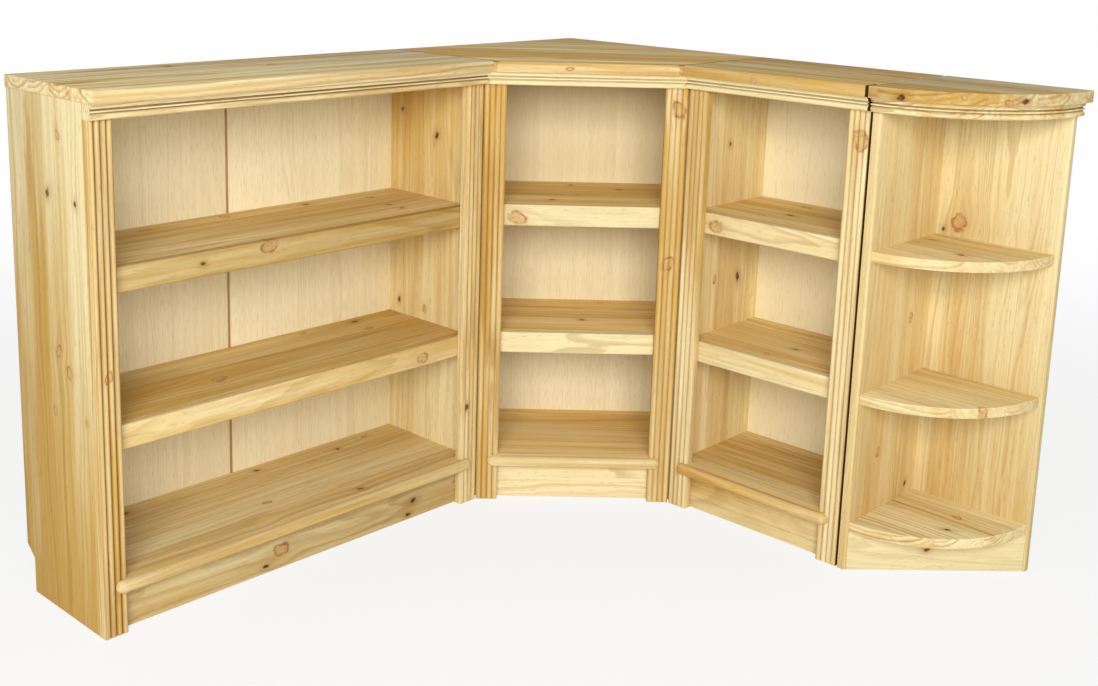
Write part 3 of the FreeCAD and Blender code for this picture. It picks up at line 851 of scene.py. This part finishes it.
def nail_tree():
    """Nail heads round a rectangle in the X-Y plane."""
    graph, given = geometry_tree("nail_heads", (
        ("Length", "Float"), ("Width", "Float"), ("Spacing", "Float"), ("Radius", "Float"),
        ("Rise", "Float"), ("Material", "Material")))
    border = graph.node("GeometryNodeCurvePrimitiveQuadrilateral", {"mode": "RECTANGLE"},
                        {"Width": given.out("Length"), "Height": given.out("Width")})
    points = graph.node("GeometryNodeCurveToPoints", {"mode": "LENGTH"},
                        {"Curve": border, "Length": given.out("Spacing")})
    head = graph.node("GeometryNodeMeshUVSphere", {},
                      {"Segments": NAIL_SEGMENTS, "Rings": NAIL_RINGS, "Radius": given.out("Radius")})
    heads = graph.node("GeometryNodeInstanceOnPoints", {},
                       {"Points": points, "Instance": head,
                        "Scale": graph.join(1.0, 1.0, given.out("Rise"))})
    heads = graph.node("GeometryNodeRealizeInstances", {}, {"Geometry": heads})
    heads = graph.node("GeometryNodeSetMaterial", {},
                       {"Geometry": heads, "Material": given.out("Material")})
    graph.node("NodeGroupOutput", {}, [heads])
    return graph.tree


def grown(name, tree, values, matrix):
    """A piece made by a Geometry Nodes tree, as a plain mesh set in its place."""
    seed = linked(name + "_seed", bpy.data.meshes.new(name + "_seed"))
    modifier = seed.modifiers.new("grow", "NODES")
    modifier.node_group = tree
    for item in tree.interface.items_tree:
        if item.name in values:
            modifier[item.identifier] = values[item.name]
    bpy.context.view_layer.update()
    shape = seed.evaluated_get(bpy.context.evaluated_depsgraph_get())
    mesh = bpy.data.meshes.new_from_object(shape)
    seed.modifiers.remove(modifier)
    bpy.data.objects.remove(seed)
    mesh.name = name
    mesh.transform(matrix)
    mesh.set_sharp_from_angle(angle=SHARP_ANGLE)
    return linked(name, mesh)


def finished(piece, node=None):
    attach(piece, "root")
    if node:
        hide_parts(node)


def pilaster(node, tree, material):
    length, width, thickness = board_size(node)
    return grown(node + "_reeded", tree, {
        "Length": length, "Width": width, "Thickness": thickness, "Reeds": REEDS,
        "Rise": REED_RISE, "Steps": REED_STEPS, "Material": material}, board_matrix(node))


def back_nails(node, tree, material):
    length, width, thickness = board_size(node)
    rear = board_matrix(node) @ Matrix.Translation((0, 0, -thickness / 2))
    return grown(node + "_nails", tree, {
        "Length": length - 2 * NAIL_INSET, "Width": width - 2 * NAIL_INSET, "Spacing": NAIL_SPACING,
        "Radius": NAIL_RADIUS, "Rise": NAIL_RISE_SHARE, "Material": material}, rear)


def coated(node, ending, rounding, material):
    piece = softened(node, node + ending, rounding)
    piece.data.materials.append(material)
    return piece


def dress():
    """A finished piece for every board; the hidden dowels keep their solids."""
    beech = plain_wood("beech_rod", BEECH, LATE_WOOD)
    strip = plain_wood("brown_strip", BROWN_STRIP, LATE_WOOD)
    steel = nail_steel()
    reeded = reeded_tree()
    nails = nail_tree()
    for node in sorted(nodes):
        if node.endswith("top_dowels"):
            nodes[node].data.materials.clear()
            nodes[node].data.materials.append(beech)
        elif node.endswith("joint_strip"):
            finished(coated(node, "_brown", BACK.rounding, strip), node)
        elif is_thin_back(node):
            finished(coated(node, "_pale", BACK.rounding, pale_back(node)), node)
            finished(back_nails(node, nails, steel))
        elif node.endswith("pilaster"):
            finished(pilaster(node, reeded, pine(node, TIMBER["pilaster"])), node)
        else:
            timber = TIMBER[kind_of(node, TIMBER)]
            finished(coated(node, "_pine", timber.rounding, pine(node, timber)), node)


# Stage: floor, light and camera

def soft_box(name, place, target, size, power):
    lamp = bpy.data.lights.new(name, "AREA")
    lamp.shape = "RECTANGLE"
    lamp.size, lamp.size_y = size
    lamp.energy = power
    holder = linked(name, lamp)
    holder.location = place
    holder.rotation_euler = (Vector(target) - Vector(place)).to_track_quat("-Z", "Y").to_euler()


def pale_floor():
    """Floor that shows near white to the camera and keeps a soft shadow."""
    finish = Finish("pale_floor")
    away = finish.vector("LENGTH", finish.place(), output="Value").step(*FLOOR_FADE)
    matt = finish.node("ShaderNodeBsdfDiffuse", {}, {"Color": FLOOR_COLOUR})
    white = finish.node("ShaderNodeEmission", {}, {"Color": (1, 1, 1, 1), "Strength": 1.0})
    share = finish.seen() * away.between(FLOOR_WHITE, 1)
    shader = finish.node("ShaderNodeMixShader", {}, [share, matt, white])
    finish.node("ShaderNodeOutputMaterial", {}, {"Surface": shader})
    shape = bmesh.new()
    bmesh.ops.create_circle(shape, cap_ends=True, segments=FLOOR_STEPS, radius=FLOOR_RADIUS)
    mesh = bpy.data.meshes.new("floor")
    shape.to_mesh(mesh)
    shape.free()
    mesh.materials.append(finish.material)
    floor = linked("floor", mesh)
    floor.location = (0, 0, -FLOOR_DROP)


def studio():
    """White where the background shows, a plain soft room to every other ray."""
    scene = bpy.context.scene
    scene.view_settings.view_transform = "Standard"
    scene.world = bpy.data.worlds.new("studio")
    scene.world.use_nodes = True
    sky = Graph(scene.world.node_tree)
    room = sky.node("ShaderNodeBackground", {}, {"Color": (1, 1, 1, 1), "Strength": ROOM_LEVEL})
    white = sky.node("ShaderNodeBackground", {}, {"Color": (1, 1, 1, 1), "Strength": 1.0})
    both = sky.node("ShaderNodeMixShader", {}, [sky.seen(), room, white])
    sky.node("ShaderNodeOutputWorld", {}, {"Surface": both})
    soft_box("front_light", *FRONT_LIGHT)
    soft_box("rear_light", *REAR_LIGHT)
    pale_floor()


def photograph_camera():
    lens = bpy.data.cameras.new("camera")
    lens.sensor_width = SENSOR_WIDTH
    lens.lens = FOCAL_PIXELS / IMAGE_WIDTH * SENSOR_WIDTH
    lens.shift_x, lens.shift_y = CAMERA_SHIFT
    lens.clip_start, lens.clip_end = CAMERA_REACH
    camera = linked("camera", lens)
    turn = (Matrix.Rotation(math.radians(CAMERA_YAW), 3, "Z")
            @ Matrix.Rotation(math.radians(90 - CAMERA_PITCH), 3, "X")
            @ Matrix.Rotation(math.radians(CAMERA_ROLL), 3, "Z"))
    camera.location = CAMERA_PLACE
    camera.rotation_euler = turn.to_euler()
    bpy.context.scene.camera = camera


dress()
studio()
photograph_camera()

bpy.context.view_layer.update()
